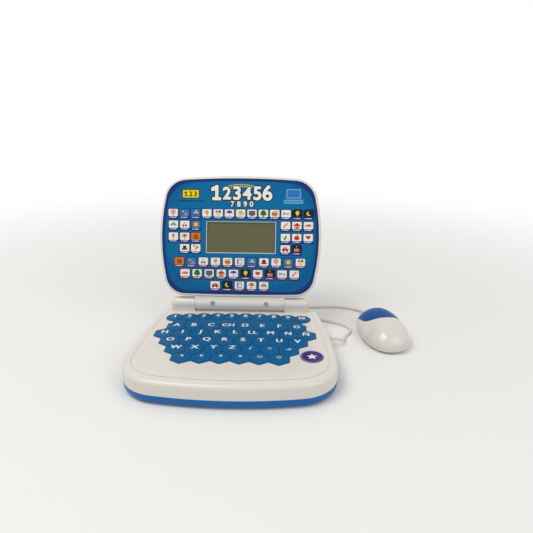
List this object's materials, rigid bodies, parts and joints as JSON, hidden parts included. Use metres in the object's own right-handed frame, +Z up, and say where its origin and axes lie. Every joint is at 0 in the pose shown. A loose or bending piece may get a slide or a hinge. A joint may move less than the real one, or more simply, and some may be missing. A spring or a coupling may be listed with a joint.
{
  "type": "toy laptop computer",
  "caption": "Toy laptop with a hinged lid that holds a small display and picture tiles, a flat keypad of six-sided keys, a battery door, and a two-button mouse on a lead.",
  "frame": {"origin": "under the middle of the base, on the table that the feet rest on", "axes": "+X to the right of the person who uses it, where the mouse lies, +Y to the back, where the hinge is, +Z up"},
  "size_m": [0.3403, 0.2557, 0.2025],
  "materials": {
    "white_plastic": "semi-gloss moulded ABS, warm white",
    "white_gloss": "polished moulded ABS, warm white",
    "blue_plastic": "semi-gloss moulded ABS, mid blue",
    "blue_button": "polished moulded ABS, deep blue",
    "black_rubber": "matt moulded rubber",
    "screw_steel": "zinc-plated self-tapping screw",
    "pin_steel": "bright drawn steel",
    "keypad_print": "printed and embossed film, satin",
    "clear_film": "milky plastic film",
    "circuit_film": "film with printed silver tracks",
    "badge_print": "printed domed label",
    "board_green": "solder-masked circuit board",
    "chip_black": "black epoxy and moulded plastic",
    "board_parts": "small electronic parts",
    "speaker_steel": "pressed steel",
    "speaker_paper": "pressed paper cone",
    "magnet_steel": "plated magnet cup",
    "cell_can": "plain jacket with a bright nub, of the density of a dry cell",
    "contact_nickel": "nickel-plated spring steel",
    "wire_red": "bundle of insulated wires",
    "white_lead": "soft white cable jacket",
    "slide_pad": "low-friction pad",
    "fascia_print": "printed gloss film",
    "display_glass": "display glass with polariser, olive grey",
    "reflector_foil": "silvered film",
    "frame_plastic": "moulded frame",
    "pink_silicone": "layered silicone strip",
    "plunger_red": "moulded switch stem"
  },
  "bodies": {
    "base": {"base_top_shell": "white_plastic", "base_bottom_shell": "blue_plastic", "rubber_feet": "black_rubber", "case_screws": "screw_steel", "keypad_film": "keypad_print", "keypad_spacer": "clear_film", "keypad_circuit": "circuit_film", "corner_badge": "badge_print", "main_board": "board_green", "board_chip": "chip_black", "board_parts": "board_parts", "board_screws": "screw_steel", "speaker_basket": "speaker_steel", "speaker_cone": "speaker_paper", "speaker_magnet": "magnet_steel", "battery_cells": "cell_can", "contact_plates": "contact_nickel", "contact_springs": "contact_nickel", "base_harness": "wire_red", "lead_gland": "white_lead", "mouse_lead": "white_lead", "mouse_top_shell": "white_gloss", "mouse_bottom_shell": "white_gloss", "mouse_board": "board_green", "mouse_switches": "chip_black", "mouse_screw": "screw_steel", "mouse_feet": "slide_pad", "lead_grommet": "white_lead"},
    "lid": {"left_hinge_pin": "pin_steel", "right_hinge_pin": "pin_steel", "lid_front_shell": "white_plastic", "lid_back_shell": "white_plastic", "lid_fascia": "fascia_print", "hinge_screws": "screw_steel", "lid_screws": "screw_steel", "lcd_glass": "display_glass", "lcd_reflector": "reflector_foil", "lcd_frame": "frame_plastic", "contact_strips": "pink_silicone", "lcd_board": "board_green", "lcd_driver": "chip_black", "lcd_board_screws": "screw_steel", "lid_harness": "wire_red"},
    "battery_door": {"battery_door": "blue_plastic", "battery_door_screw": "screw_steel"},
    "left_button": {"mouse_left_button": "blue_button", "mouse_left_plunger": "plunger_red"},
    "right_button": {"mouse_right_button": "blue_button", "mouse_right_plunger": "plunger_red"}
  },
  "joints": [
    {"name": "lid_hinge", "type": "hinge", "parent": "base", "child": "lid", "pos_m": [0, 0.084, 0.0395], "axis": [1, 0, 0], "range_deg": [-12, 108]},
    {"name": "battery_door_open", "type": "hinge", "parent": "base", "child": "battery_door", "pos_m": [-0.008, 0.024, 0.0017], "axis": [-1, 0, 0], "range_deg": [0, 75]},
    {"name": "left_click", "type": "hinge", "parent": "base", "child": "left_button", "pos_m": [0.19111, 0.06208, 0.029], "axis": [-0.9903, -0.1392, 0], "range_deg": [0, 1.2], "stiffness_Nm_per_rad": 0.75},
    {"name": "right_click", "type": "hinge", "parent": "base", "child": "right_button", "pos_m": [0.19111, 0.06208, 0.029], "axis": [-0.9903, -0.1392, 0], "range_deg": [0, 1.2], "stiffness_Nm_per_rad": 0.75}
  ]
}
